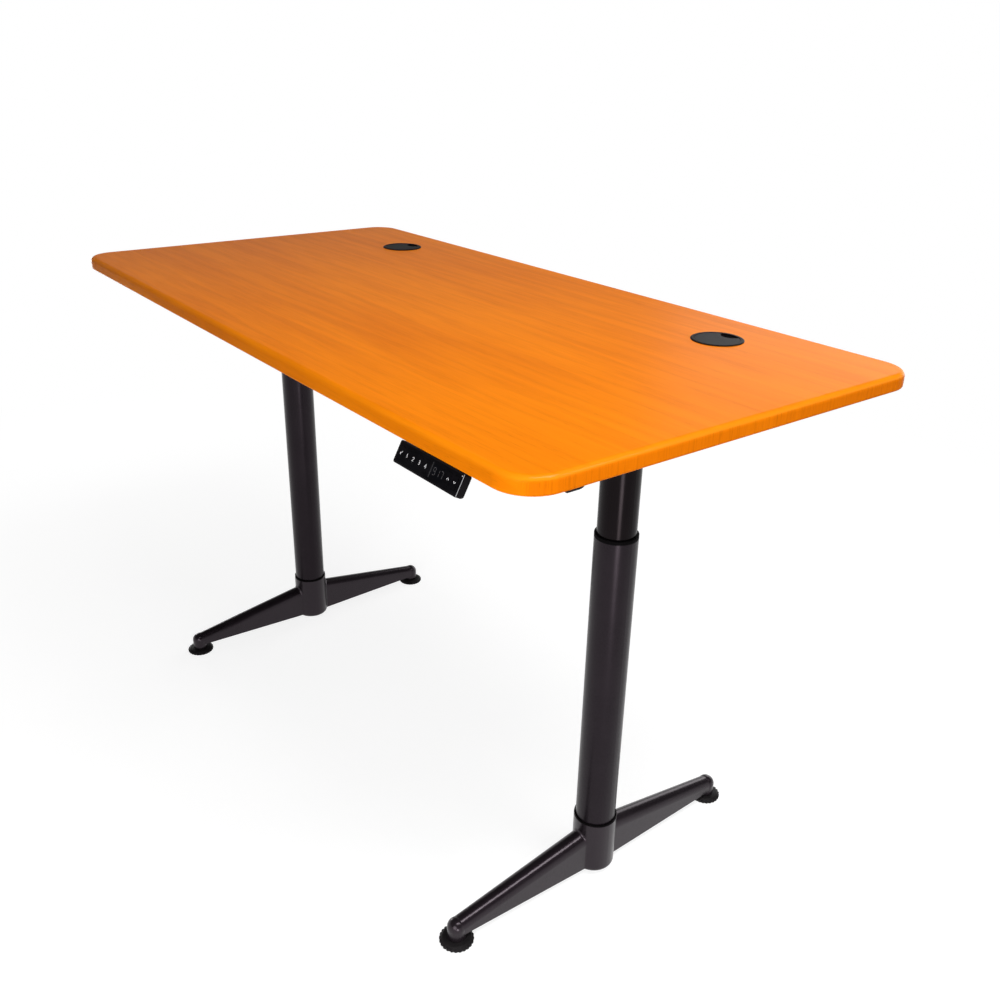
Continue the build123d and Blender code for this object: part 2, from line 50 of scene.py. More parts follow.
print("frame loaded:", len(frame["nodes"]), "nodes")


class Wire:  # a shader socket that takes part in sums
    def __init__(self, tree, socket=None):
        self.tree = tree
        self.socket = socket

    def node(self, kind, settings=None, inputs=None, out=0):
        made = self.tree.nodes.new("ShaderNode" + kind)
        for name, value in (settings or {}).items():
            setattr(made, name, value)
        for name, value in (inputs or {}).items():
            if isinstance(value, Wire):
                self.tree.links.new(value.socket, made.inputs[name])
            else:
                made.inputs[name].default_value = value
        return Wire(self.tree, made.outputs[out]) if len(made.outputs) else made

    def maths(self, operation, first, second):
        return self.node("Math", {"operation": operation}, {0: first, 1: second})

    def __add__(self, other):
        return self.maths("ADD", self, other)

    def __sub__(self, other):
        return self.maths("SUBTRACT", self, other)

    def __rsub__(self, other):
        return self.maths("SUBTRACT", other, self)

    def __mul__(self, other):
        return self.maths("MULTIPLY", self, other)

    __radd__ = __add__
    __rmul__ = __mul__

    def atLeast(self, other):
        return self.maths("MAXIMUM", self, other)

    def stepped(self, low, high):  # 0 below low, 1 above high, smooth between
        return self.node("MapRange", {"interpolation_type": "SMOOTHSTEP"},
                         {"Value": self, "From Min": low, "From Max": high})

    def mixed(self, first, second):  # this wire is the share of the second colour
        return self.node("Mix", {"data_type": "RGBA"}, {0: self, 6: first, 7: second}, out=2)


def colour(*linear):
    return (*linear, 1)


def newFinish(name):
    finish = bpy.data.materials.new(name)
    finish.use_nodes = True
    finish.node_tree.nodes.clear()
    return finish, Wire(finish.node_tree)


def surface(start, **inputs):
    sockets = {name.replace("_", " "): value for name, value in inputs.items()}
    shader = start.node("BsdfPrincipled", None, sockets)
    start.node("OutputMaterial", None, {"Surface": shader})


def spot(start):
    return start.node("TexCoord", None, None, out="Object")


def stretched(place, scale):
    return place.node("VectorMath", {"operation": "MULTIPLY"}, {0: place, 1: scale})


def parted(place):
    return [place.node("SeparateXYZ", None, {0: place}, out=axis) for axis in "XYZ"]


def joined(x, y, z):
    return x.node("CombineXYZ", None, {"X": x, "Y": y, "Z": z})


def noise(place, scale, detail, waver=0.0):
    return place.node("TexNoise", None,
                      {"Vector": place, "Scale": scale, "Detail": detail, "Distortion": waver})


def bumped(height, depth, strength=1.0):
    return height.node("Bump", None, {"Height": height, "Distance": depth, "Strength": strength})


# cherry laminate: the grain runs along the board and down its long edges, and stands upright on its ends;
# the underside has a dark backing sheet
cherry = {
    "light": colour(0.97, 0.255, 0.003),
    "warm": colour(0.80, 0.186, 0.002),
    "dark": colour(0.48, 0.092, 0.001),
    "pore": colour(0.26, 0.048, 0.001),
    # arris: the lighter colour of the rounded edges, a painted highlight
    "arris": colour(0.98, 0.345, 0.012),
    "backing": colour(0.016, 0.012, 0.011),
    "backingHigh": colour(0.030, 0.024, 0.022),
    "gloss": 0.28,
    "shine": 0.005,
    "arrisGloss": 0.14,
    "arrisCoat": 0.40,
    "frontCoat": 0.06,  # the share of that coat on the long edges
    "arrisHighlightTint": 0.12,
    "endArrisHighlightTint": 0.6,
    "figureShare": 0.5,
    "bandShare": 0.5,
    "endPaintedShade": 0.6,  # how far the ends lean to the darker warm tone: a painted shade on the end faces
    "streakShare": 0.12,
    "endStreakShare": 0.15,
    "poreShare": 0.20,
    "endPoreShare": 0.18,
    "poreBands": (0.40, 0.65),  # pores gather in the warmer bands
    "backingBands": (0.3, 0.7),
    "streakDull": 0.06,
    "poreDull": 0.15,
    "streakRise": 0.3,
    "relief": 0.03 * mm,
}
# waves per metre along the board, across it and up its ends, and the levels over which a layer comes in
grainLayers = {
    "figure": {"scale": (0.9, 6.0, 1.0), "detail": 4.0, "waver": 0.8, "levels": (0.32, 0.70)},
    "bands": {"scale": (3.5, 60.0, 1.0), "detail": 3.0, "waver": 0.4, "levels": (0.30, 0.72)},
    "streaks": {"scale": (16.0, 380.0, 9.0), "detail": 2.0, "waver": 0.2, "levels": (0.46, 0.74)},
    "pores": {"scale": (46.0, 900.0, 40.0), "detail": 1.0, "waver": 0.0, "levels": (0.62, 0.74)},
}
facings = {  # the part of the normal from which a face begins to count as this, and at which it fully does
    "end": (0.35, 0.75),
    "arrisFoot": (0.25, 0.60),
    "arrisTop": (0.90, 0.997),
    "underside": (0.90, 0.995),
}


def grainLayer(name, x, across, upright):
    look = grainLayers[name]
    along, wide, tall = look["scale"]
    place = joined(x * along, across * wide, upright * tall)
    field = noise(place, scale=1.0, detail=look["detail"], waver=look["waver"])
    return field, field.stepped(*look["levels"])


def cherryLaminate():
    finish, start = newFinish("cherryLaminate")
    x, y, z = parted(spot(start))
    endward, _, upward = parted(start.node("TexCoord", None, None, out="Normal"))
    endFacing = endward * endward
    ends = endFacing.stepped(*facings["end"])
    arris = upward.stepped(*facings["arrisFoot"]) * (1 - upward.stepped(*facings["arrisTop"]))
    underside = (upward * -1).stepped(*facings["underside"])
    across = y + z * (1 - ends)
    upright = z * ends
    _, figured = grainLayer("figure", x, across, upright)
    bands, banded = grainLayer("bands", x, across, upright)
    streaks, streaked = grainLayer("streaks", x, across, upright)
    _, pored = grainLayer("pores", x, across, upright)

    # the ends lean to the warm tone as a painted shade
    tone = figured * cherry["figureShare"] + banded * cherry["bandShare"] + ends * cherry["endPaintedShade"]
    board = tone.mixed(cherry["light"], cherry["warm"])
    grain = streaked * (cherry["streakShare"] + ends * cherry["endStreakShare"])
    board = grain.mixed(board, cherry["dark"])
    gathered = bands.stepped(*cherry["poreBands"]) * cherry["poreShare"]
    fleck = pored * (gathered + ends * cherry["endPoreShare"])
    board = fleck.mixed(board, cherry["pore"])
    # the rounded edges are tinted lighter, most on the ends: a painted highlight
    paintedArrisHighlight = arris * (cherry["arrisHighlightTint"] + endFacing * cherry["endArrisHighlightTint"])
    board = paintedArrisHighlight.mixed(board, cherry["arris"])
    backing = bands.stepped(*cherry["backingBands"]).mixed(cherry["backing"], cherry["backingHigh"])
    board = underside.mixed(board, backing)

    coat = arris * (cherry["frontCoat"] + endFacing * (1 - cherry["frontCoat"])) * cherry["arrisCoat"]
    sheen = cherry["gloss"] + streaks * cherry["streakDull"] + fleck * cherry["poreDull"]
    relief = bumped(streaks * cherry["streakRise"] - fleck, cherry["relief"])
    surface(start, Base_Color=board, Roughness=sheen, Specular_IOR_Level=cherry["shine"],
            Coat_Weight=coat, Coat_Roughness=cherry["arrisGloss"], Normal=relief)
    return finish


# black coats: satin powder on the outer tubes and under-frame, a lacquered one on the cast feet,
# and a harder gloss on the sliding tubes, whose darker base is partly their own finish and partly painted
# shade from the tabletop above
coats = {
    "satinPowder": {"base": colour(0.0068, 0.0052, 0.0066), "high": colour(0.0095, 0.0073, 0.0092),
                    "gloss": 0.22, "shine": 0.18, "cast": colour(1.0, 0.80, 0.94), "lacquer": 0.0},
    "castSatin": {"base": colour(0.0085, 0.0064, 0.0080), "high": colour(0.0118, 0.0090, 0.0112),
                  "gloss": 0.22, "shine": 0.22, "cast": colour(1.0, 0.74, 0.93), "lacquer": 0.24},
    # the sliding tubes' darker base is partly painted shade from the tabletop
    "slidingGlossAndShade": {"base": colour(0.0030, 0.0022, 0.0025), "high": colour(0.0046, 0.0035, 0.0039),
                     "gloss": 0.16, "shine": 0.09, "cast": colour(1.0, 0.80, 0.87), "lacquer": 0.0},
}
coatGrain = {"peel": 1500.0, "peelDepth": 0.02 * mm, "peelStrength": 0.5, "peelDull": 0.05,
             "cloud": 9.0, "cloudLevels": (0.35, 0.7), "cloudDull": 0.06, "lacquerGloss": 0.08}


def coated(name):
    look = coats[name]
    finish, start = newFinish(name)
    place = spot(start)
    peel = noise(place, coatGrain["peel"], detail=2.0)
    cloud = noise(place, coatGrain["cloud"], detail=3.0)
    shade = cloud.stepped(*coatGrain["cloudLevels"]).mixed(look["base"], look["high"])
    dullness = look["gloss"] + cloud * coatGrain["cloudDull"] + peel * coatGrain["peelDull"]
    surface(start, Base_Color=shade, Roughness=dullness,
            Specular_IOR_Level=look["shine"], Specular_Tint=look["cast"],
            Coat_Weight=look["lacquer"], Coat_Roughness=coatGrain["lacquerGloss"],
            Normal=bumped(peel, coatGrain["peelDepth"], coatGrain["peelStrength"]))
    return finish


# moulded plastics share one recipe: a fine spark-eroded grain and slight clouding
mouldings = {
    # ring_black: real black plastic rings, darker than the other plastics as a painted shade of the gaps at
    # the hub and collar tops
    "ring_black": {"base": colour(0.0030, 0.0026, 0.0028), "high": colour(0.0050, 0.0044, 0.0047),
                   "gloss": 0.42, "shine": 0.012, "grain": 2200.0, "depth": 0.03 * mm},
    "black_plastic": {"base": colour(0.0068, 0.0058, 0.0066), "high": colour(0.0112, 0.0098, 0.0108),
                      "gloss": 0.40, "shine": 0.02, "grain": 2200.0, "depth": 0.03 * mm},
    "glide_plastic": {"base": colour(0.010, 0.009, 0.0095), "high": colour(0.018, 0.016, 0.017),
                      "gloss": 0.34, "shine": 0.07, "grain": 1600.0, "depth": 0.03 * mm},
    "guide_nylon": {"base": colour(0.66, 0.63, 0.56), "high": colour(0.78, 0.76, 0.70),
                    "gloss": 0.42, "shine": 0.4, "grain": 900.0, "depth": 0.02 * mm},
    "circuit_board": {"base": colour(0.010, 0.115, 0.045), "high": colour(0.02, 0.19, 0.08),
                      "gloss": 0.35, "shine": 0.4, "grain": 1200.0, "depth": 0.02 * mm},
}
mouldGrain = {"cloud": 26.0, "cloudShare": 0.7, "grainShare": 0.3, "levels": (0.3, 0.7),
              "grainDull": 0.1, "cloudDull": 0.05, "strength": 0.6}


def moulded(name):
    look = mouldings[name]
    finish, start = newFinish(name + "Moulded")
    place = spot(start)
    grain = noise(place, look["grain"], detail=1.0)
    cloud = noise(place, mouldGrain["cloud"], detail=3.0)
    mottle = cloud * mouldGrain["cloudShare"] + grain * mouldGrain["grainShare"]
    shade = mottle.stepped(*mouldGrain["levels"]).mixed(look["base"], look["high"])
    dullness = look["gloss"] + grain * mouldGrain["grainDull"] + cloud * mouldGrain["cloudDull"]
    surface(start, Base_Color=shade, Roughness=dullness, Specular_IOR_Level=look["shine"],
            Normal=bumped(grain, look["depth"], mouldGrain["strength"]))
    return finish


# bare metals: drawn lines along one axis, cloudy plating
metals = {
    "zinc_steel": {"base": colour(0.50, 0.51, 0.53), "high": colour(0.66, 0.665, 0.68), "gloss": 0.30},
    "motor_steel": {"base": colour(0.30, 0.30, 0.31), "high": colour(0.42, 0.42, 0.43), "gloss": 0.36},
    "bright_trim": {"base": colour(0.62, 0.62, 0.64), "high": colour(0.74, 0.74, 0.76), "gloss": 0.22},
}
metalGrain = {"lines": (900.0, 900.0, 40.0), "cloud": 140.0, "cloudShare": 0.6, "lineShare": 0.4,
              "levels": (0.3, 0.7), "lineDull": 0.12, "depth": 0.01 * mm, "strength": 0.5}


def plated(name):
    look = metals[name]
    finish, start = newFinish(name + "Plated")
    place = spot(start)
    lines = noise(stretched(place, metalGrain["lines"]), scale=1.0, detail=2.0)
    cloud = noise(place, metalGrain["cloud"], detail=2.0)
    mottle = cloud * metalGrain["cloudShare"] + lines * metalGrain["lineShare"]
    shade = mottle.stepped(*metalGrain["levels"]).mixed(look["base"], look["high"])
    surface(start, Base_Color=shade, Metallic=1.0, Roughness=look["gloss"] + lines * metalGrain["lineDull"],
            Normal=bumped(lines, metalGrain["depth"], metalGrain["strength"]))
    return finish


# gloss mouldings of the handset, with faint smears
glossy = {
    "gloss_black": {"base": colour(0.0030, 0.0028, 0.0038), "high": colour(0.0060, 0.0055, 0.0070),
                    "gloss": 0.12, "shine": 0.01},
    "display_window": {"base": colour(0.0025, 0.0025, 0.0038), "high": colour(0.005, 0.005, 0.0075),
                       "gloss": 0.08, "shine": 0.01},
}
smears = {"scale": (30.0, 90.0, 90.0), "detail": 3.0, "waver": 0.6, "levels": (0.35, 0.7),
          "dullLevels": (0.45, 0.7), "dull": 0.12}


def polished(name):
    look = glossy[name]
    finish, start = newFinish(name + "Polished")
    place = stretched(spot(start), smears["scale"])
    smear = noise(place, scale=1.0, detail=smears["detail"], waver=smears["waver"])
    shade = smear.stepped(*smears["levels"]).mixed(look["base"], look["high"])
    dullness = look["gloss"] + smear.stepped(*smears["dullLevels"]) * smears["dull"]
    surface(start, Base_Color=shade, Roughness=dullness, Specular_IOR_Level=look["shine"])
    return finish


# printed marks and the dim readout
inks = {
    "keyPrint": {"base": colour(0.70, 0.70, 0.72), "high": colour(0.86, 0.86, 0.88), "gloss": 0.5},
    "dimPrint": {"base": colour(0.030, 0.028, 0.032), "high": colour(0.050, 0.047, 0.053), "gloss": 0.4},
}
inkGrain = {"speckle": 3000.0, "levels": (0.3, 0.7), "dull": 0.1}


def printed(name):
    look = inks[name]
    finish, start = newFinish(name)
    speckle = noise(spot(start), inkGrain["speckle"], detail=2.0)
    shade = speckle.stepped(*inkGrain["levels"]).mixed(look["base"], look["high"])
    surface(start, Base_Color=shade, Roughness=look["gloss"] + speckle * inkGrain["dull"])
    return finish


finishes = {"laminate": cherryLaminate(), "black_powder_coat": coated("satinPowder")}
finishes.update({name: moulded(name) for name in mouldings})
finishes.update({name: plated(name) for name in metals})
finishes.update({name: polished(name) for name in glossy})
finishes.update({name: printed(name) for name in inks})
ownFinish = {"inner_tube": coated("slidingGlossAndShade"), "foot": coated("castSatin"),
             # the rings get ring_black, whose extra darkness is painted shade
             "guide_collar": finishes["ring_black"], "hub_ring": finishes["ring_black"]}

for piece in frame["record"]["subparts"]:
    slots = frame["nodes"][piece["node"]].data.materials
    slots.clear()
    slots.append(finishes[piece["material_slot"]])
for part, finish in ownFinish.items():
    for side in ("left", "right"):
        frame["nodes"][f"{part}_{side}"].data.materials[0] = finish


def turned(mesh, rings, steps, place):
    # rings are (radius, level): a radius may be a function of the angle, and 0 is a closing point
    loops = []
    for radius, level in rings:
        loop = []
        for step in range(1 if radius == 0 else steps):
            angle = tau * step / steps
            reach = radius(angle) if callable(radius) else radius
            loop.append(mesh.verts.new(place @ Vector((reach * cos(angle), reach * sin(angle), level))))
        loops.append(loop)
    for lower, upper in zip(loops, loops[1:]):
        for step in range(steps):
            following = (step + 1) % steps
            ring = [lower[step % len(lower)], lower[following % len(lower)],
                    upper[following % len(upper)], upper[step % len(upper)]]
            mesh.faces.new(dict.fromkeys(ring))


def newPiece(name, mesh, body, finish, smooth=30):
    bmesh.ops.recalc_face_normals(mesh, faces=mesh.faces)
    data = bpy.data.meshes.new(name)
    mesh.to_mesh(data)
    mesh.free()
    data.materials.append(finishes[finish])
    piece = bpy.data.objects.new(name, data)
    scene.collection.objects.link(piece)
    data.shade_smooth()
    data.set_sharp_from_angle(angle=radians(smooth))
    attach(piece, body)
    return piece


def centreOf(node):
    low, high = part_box(node)
    return (low + high) / 2


def eitherWay(reach):
    return (-reach, reach)


# levelling glides: scalloped grip rims around the pads; rimTop is a share of the shoulder's height
glide = {"teeth": 24, "toothDepth": 1.7 * mm, "steps": 240, "foot": 0.8 * mm, "rimTop": 0.66,
         "neck": 12 * mm, "shoulder": 9 * mm, "smooth": 40}


def addGlideTread(place):
    node = f"glide_pad_{place}"
    low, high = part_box(node)
    studLow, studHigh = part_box(f"glide_stud_{place}")
    rim = (high.x - low.x) / 2
    studRadius = (studHigh.x - studLow.x) / 2
    foot, neck, shoulder = glide["foot"], glide["neck"], glide["shoulder"]
    rimTop = shoulder * glide["rimTop"]

    def scalloped(angle):
        return rim - glide["toothDepth"] * (0.5 + 0.5 * cos(glide["teeth"] * angle)) ** 2

    def eased(inset):
        return lambda angle: scalloped(angle) - inset

    centre = Matrix.Translation(((low.x + high.x) / 2, (low.y + high.y) / 2, low.z))
    mesh = bmesh.new()
    turned(mesh, [
        (0, 0),
        (rim - 2.6 * mm, 0),
        (rim - 2.2 * mm, 0.25 * mm),
        (eased(0.7 * mm), foot),
        (eased(0.1 * mm), foot + 0.7 * mm),
        (scalloped, foot + 1.4 * mm),
        (scalloped, rimTop - 0.8 * mm),
        (eased(0.25 * mm), rimTop - 0.2 * mm),
        (eased(0.9 * mm), rimTop + 0.15 * mm),
        (rim - 2.6 * mm, rimTop + 0.5 * mm),
        (rim - 3.4 * mm, rimTop + 0.9 * mm),
        (rim - 4.2 * mm, shoulder - 0.9 * mm),
        (rim - 5.4 * mm, shoulder - 0.3 * mm),
        (rim - 6.8 * mm, shoulder),
        (neck + 0.8 * mm, shoulder),
        (neck + 0.2 * mm, shoulder + 0.25 * mm),
        (neck, shoulder + 0.8 * mm),
        (neck, high.z - low.z),
        (studRadius, high.z - low.z),
        (studRadius, studLow.z - low.z),
        (0, studLow.z - low.z),
    ], glide["steps"], centre)
    tread = newPiece(f"glide_tread_{place}", mesh, f"glide_{place}", "glide_plastic",
                     glide["smooth"])
    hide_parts(node)


for end in ("front", "rear"):
    for side in ("left", "right"):
        addGlideTread(f"{end}_{side}")
print("glide treads made")


# screws and bolts of the under-frame
screw = {"radius": 4.4 * mm, "height": 2.6 * mm, "slotReach": 2.3 * mm, "slotWidth": 1.0 * mm,
         "slotDepth": 1.6 * mm}
hexBolt = {"flat": 6.5 * mm, "height": 5.2 * mm, "washer": 9.0 * mm, "washerThick": 1.4 * mm,
           "dish": 0.7 * mm}
heads = {"steps": 48, "smooth": 35}
underframe = {
    "sheet": 3 * mm,
    "armScrewAcross": 25.3 * mm,
    "armScrewAlong": (-195 * mm, -105 * mm, 105 * mm, 195 * mm),
    "lugInset": 7.5 * mm,
    "lugAlong": 40 * mm,
    "bracketSheet": 2.5 * mm,
    "bracketInset": 10 * mm,
    "bracketAcross": 35 * mm,
    "clipInset": 8 * mm,
    "plateBoltAlong": 22 * mm,
    "clampBoltAcross": 40 * mm,
    "barHalf": 17 * mm,
}
down = (0, 0, -1)
leastPart = 1e-6  # keeps the slot's formula from dividing by zero


def crossReach(angle):
    c, s = max(abs(cos(angle)), leastPart), max(abs(sin(angle)), leastPart)
    reach, half = screw["slotReach"], screw["slotWidth"] / 2
    return max(min(reach / c, half / s), min(reach / s, half / c))


def hexReach(angle):
    return hexBolt["flat"] / cos((angle + pi / 6) % (pi / 3) - pi / 6)


def facing(point, way):
    return Matrix.Translation(point) @ Vector(way).to_track_quat("Z", "Y").to_matrix().to_4x4()


def addScrewHead(mesh, point, way):
    r, h, deep = screw["radius"], screw["height"], screw["slotDepth"]
    turned(mesh, [
        (0, 0), (r, 0), (r, 0.3 * h), (0.95 * r, 0.55 * h), (0.82 * r, 0.82 * h), (0.66 * r, h),
        (crossReach, h), (lambda angle: 0.8 * crossReach(angle), h - deep), (0, h - 1.2 * deep),
    ], heads["steps"], facing(point, way))


def addBoltHead(mesh, point, way):
    w, t, h = hexBolt["washer"], hexBolt["washerThick"], hexBolt["height"]
    flat, dish = hexBolt["flat"], hexBolt["dish"]
    turned(mesh, [
        (0, 0), (w, 0), (w, 0.8 * t), (0.97 * w, t), (hexReach, t), (hexReach, t + 0.85 * h),
        (0.93 * flat, t + h), (0.6 * flat, t + h), (0.5 * flat, t + h - dish), (0, t + h - dish),
    ], heads["steps"], facing(point, way))


def addFasteners(name, places, head):
    mesh = bmesh.new()
    for point, way in places:
        head(mesh, point, way)
    newPiece(name, mesh, "top", "zinc_steel", heads["smooth"])
    print(name, "made:", len(places))


sheet = underframe["sheet"]
armScrews = []
for side in ("left", "right"):
    low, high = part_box(f"side_arm_{side}")
    middle = (low + high) / 2
    for across in eitherWay(underframe["armScrewAcross"]):
        for along in underframe["armScrewAlong"]:
            armScrews.append(((middle.x + across, middle.y + along, high.z - sheet), down))
addFasteners("arm_screws", armScrews, addScrewHead)

low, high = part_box("control_box_lid")
middle = (low + high) / 2
lugScrews = [((x, middle.y + along, low.z), down)
             for x in (low.x + underframe["lugInset"], high.x - underframe["lugInset"])
             for along in eitherWay(underframe["lugAlong"])]
addFasteners("control_box_screws", lugScrews, addScrewHead)

low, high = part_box("handset_bracket")
middle = (low + high) / 2
screwY = high.y - underframe["bracketInset"]
bracketScrews = [((middle.x + across, screwY, high.z - underframe["bracketSheet"]), down)
                 for across in eitherWay(underframe["bracketAcross"])]
addFasteners("bracket_screws", bracketScrews, addScrewHead)

low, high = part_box("cable_clip")
clipScrew = [((low.x + underframe["clipInset"], (low.y + high.y) / 2, high.z - sheet), down)]
addFasteners("clip_screw", clipScrew, addScrewHead)

plateBolts = []
for half, inward in (("outer", 1), ("inner", -1)):
    for end in ("front", "rear"):
        low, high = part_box(f"crossbar_{half}_{end}")
        middle = (low + high) / 2
        plateX = low.x + sheet if inward > 0 else high.x - sheet
        for along in eitherWay(underframe["plateBoltAlong"]):
            plateBolts.append(((plateX, middle.y + along, middle.z), (inward, 0, 0)))
addFasteners("crossbar_plate_bolts", plateBolts, addBoltHead)

clampBolts = []
for end in ("front", "rear"):
    middle = centreOf(f"crossbar_outer_{end}")
    for across in eitherWay(underframe["clampBoltAcross"]):
        clampBolts.append(((across, middle.y, middle.z - underframe["barHalf"]), down))
addFasteners("crossbar_clamp_bolts", clampBolts, addBoltHead)


# handset marks, drawn as strokes in the plane of its face
handset = {"tilt": 28, "fasciaHalf": 1 * mm, "mark": 4.8 * mm, "stroke": 0.85 * mm, "lift": 0.06 * mm,
           "proud": 0.3 * mm, "mitreLimit": 0.5}
tilt = radians(handset["tilt"])
faceUp = Vector((0, sin(tilt), cos(tilt)))
faceOut = Vector((0, -cos(tilt), sin(tilt)))
fasciaCentre = centreOf("handset_fascia") + faceOut * handset["fasciaHalf"]
glyphs = {  # strokes in a unit cell, x to the right and y up
    "store": [[(-0.42, 0.02), (-0.12, -0.34), (0.46, 0.46)]],
    "one": [[(-0.22, 0.28), (0.04, 0.5), (0.04, -0.5)]],
    "two": [[(-0.3, 0.3), (-0.12, 0.5), (0.14, 0.5), (0.3, 0.3), (0.26, 0.06), (-0.3, -0.5), (0.32, -0.5)]],
    "three": [[(-0.28, 0.4), (-0.06, 0.5), (0.18, 0.46), (0.28, 0.28), (0.18, 0.08), (-0.06, 0.02),
               (0.2, -0.04), (0.31, -0.25), (0.18, -0.45), (-0.06, -0.5), (-0.3, -0.4)]],
    "four": [[(0.16, -0.5), (0.16, 0.5), (-0.34, -0.18), (0.36, -0.18)]],
    "up": [[(-0.46, -0.24), (0, 0.26), (0.46, -0.24)]],
    "down": [[(-0.46, 0.24), (0, -0.26), (0.46, 0.24)]],
}


def onFace(x):  # the point of the fascia's middle line at this x
    return Vector((x, fasciaCentre.y, fasciaCentre.z))


def addStroke(mesh, points, width, origin, thick):
    # a flat ribbon with mitred bends, standing thick above the face
    flat = [Vector(point) for point in points]
    sides = []
    for i, point in enumerate(flat):
        before = (point - flat[i - 1]).normalized() if i else (flat[1] - point).normalized()
        after = (flat[i + 1] - point).normalized() if i + 1 < len(flat) else before
        across = Vector((-(before + after).y, (before + after).x)).normalized()
        reach = width / 2 / max(handset["mitreLimit"], across.dot(Vector((-before.y, before.x))))
        sides.append((point + across * reach, point - across * reach))
    corners = []
    for pair in sides:
        corners.append([mesh.verts.new(origin + Vector((1, 0, 0)) * p.x + faceUp * p.y + faceOut * h)
                        for h in (0, thick) for p in pair])
    for a, b in zip(corners, corners[1:]):
        for first, second in ((0, 1), (1, 3), (3, 2), (2, 0)):
            mesh.faces.new((a[first], a[second], b[second], b[first]))
    for end in (corners[0], corners[-1]):
        mesh.faces.new((end[0], end[1], end[3], end[2]))


def addMark(key):
    low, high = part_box(f"button_{key}")
    origin = onFace((low.x + high.x) / 2) + faceOut * handset["proud"]
    mesh = bmesh.new()
    for stroke in glyphs[key]:
        addStroke(mesh, [(x * handset["mark"], y * handset["mark"]) for x, y in stroke],
                  handset["stroke"], origin, handset["lift"])
    newPiece(f"mark_{key}", mesh, f"button_{key}", "keyPrint")


for key in glyphs:
    addMark(key)


# fascia trim: a bright line at the right end, two divider lines left of the display and a small lamp
trim = {"lineWidth": 0.9 * mm, "lineHeight": 28 * mm, "lineInset": 0.9 * mm,
        "dividerWidth": 0.35 * mm, "dividerHeight": 20 * mm, "dividerInsets": (2.4 * mm, 1.2 * mm),
        "lamp": 0.8 * mm, "lampInset": 4.2 * mm, "lampRise": 11.4 * mm, "lampSteps": 24}
_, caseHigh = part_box("handset_case")
displayLow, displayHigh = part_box("handset_display")


def addBar(name, x, height, width, finish):
    mesh = bmesh.new()
    addStroke(mesh, [(0, -height / 2), (0, height / 2)], width, onFace(x), 2 * handset["lift"])
    newPiece(name, mesh, "top", finish)


def addLamp():
    mesh = bmesh.new()
    r = trim["lamp"]
    place = facing(onFace(caseHigh.x - trim["lampInset"]) + faceUp * trim["lampRise"], faceOut)
    dome = [(0, 0), (r, 0), (r, 0.1 * mm), (0.7 * r, 0.3 * mm), (0, 0.4 * mm)]
    turned(mesh, dome, trim["lampSteps"], place)
    newPiece("handset_lamp", mesh, "top", "keyPrint")


addBar("handset_end_line", caseHigh.x - trim["lineInset"], trim["lineHeight"], trim["lineWidth"],
       "bright_trim")
for number, inset in enumerate(trim["dividerInsets"]):
    addBar(f"fascia_divider_{number}", displayLow.x - inset, trim["dividerHeight"], trim["dividerWidth"],
           "dimPrint")
addLamp()


# dim readout: three figures of seven bars, with gaps that are a share of a bar's width
readout = {"figures": "917", "height": 9 * mm, "width": 4.6 * mm, "pitch": 7.6 * mm, "bar": 0.8 * mm,
           "gap": 0.6}
barEnds = {"a": ((0, 2), (1, 2)), "b": ((1, 2), (1, 1)), "c": ((1, 1), (1, 0)), "d": ((0, 0), (1, 0)),
           "e": ((0, 0), (0, 1)), "f": ((0, 1), (0, 2)), "g": ((0, 1), (1, 1))}
litBars = {"9": "abcdfg", "1": "bc", "7": "abc"}


def addReadout():
    mesh = bmesh.new()
    origin = onFace((displayLow.x + displayHigh.x) / 2)
    for number, figure in enumerate(readout["figures"]):
        left = (number - 1) * readout["pitch"] - readout["width"] / 2
        for bar in litBars[figure]:
            start, stop = (Vector((left + x * readout["width"], (y - 1) * readout["height"] / 2))
                           for x, y in barEnds[bar])
            inset = (stop - start).normalized() * readout["bar"] * readout["gap"]
            addStroke(mesh, [start + inset, stop - inset], readout["bar"], origin, handset["lift"])
    newPiece("handset_readout", mesh, "top", "dimPrint")


addReadout()
print("handset marks made")


# camera at the photograph's viewing angle
viewpoint = {"place": (1.52435, -0.9994, 1.34342), "yaw": 52.075, "pitch": 24.313, "roll": 1.306,
             "lens": 36.084, "sensor": 36, "reach": 100}


def addCamera():
    yaw, pitch, roll = (radians(viewpoint[name]) for name in ("yaw", "pitch", "roll"))
    ahead = Vector((-sin(yaw) * cos(pitch), cos(yaw) * cos(pitch), -sin(pitch)))
    level = Vector((cos(yaw), sin(yaw), 0))
    upright = level.cross(ahead)
    across = level * cos(roll) + upright * sin(roll)
    above = upright * cos(roll) - level * sin(roll)
    data = bpy.data.cameras.new("camera")
    data.sensor_width = viewpoint["sensor"]
    data.lens = viewpoint["lens"]
    data.clip_end = viewpoint["reach"]
    camera = bpy.data.objects.new("camera", data)
    scene.collection.objects.link(camera)
    turn = Matrix((across, above, -ahead)).transposed().to_4x4()
    camera.matrix_world = Matrix.Translation(viewpoint["place"]) @ turn
    scene.camera = camera


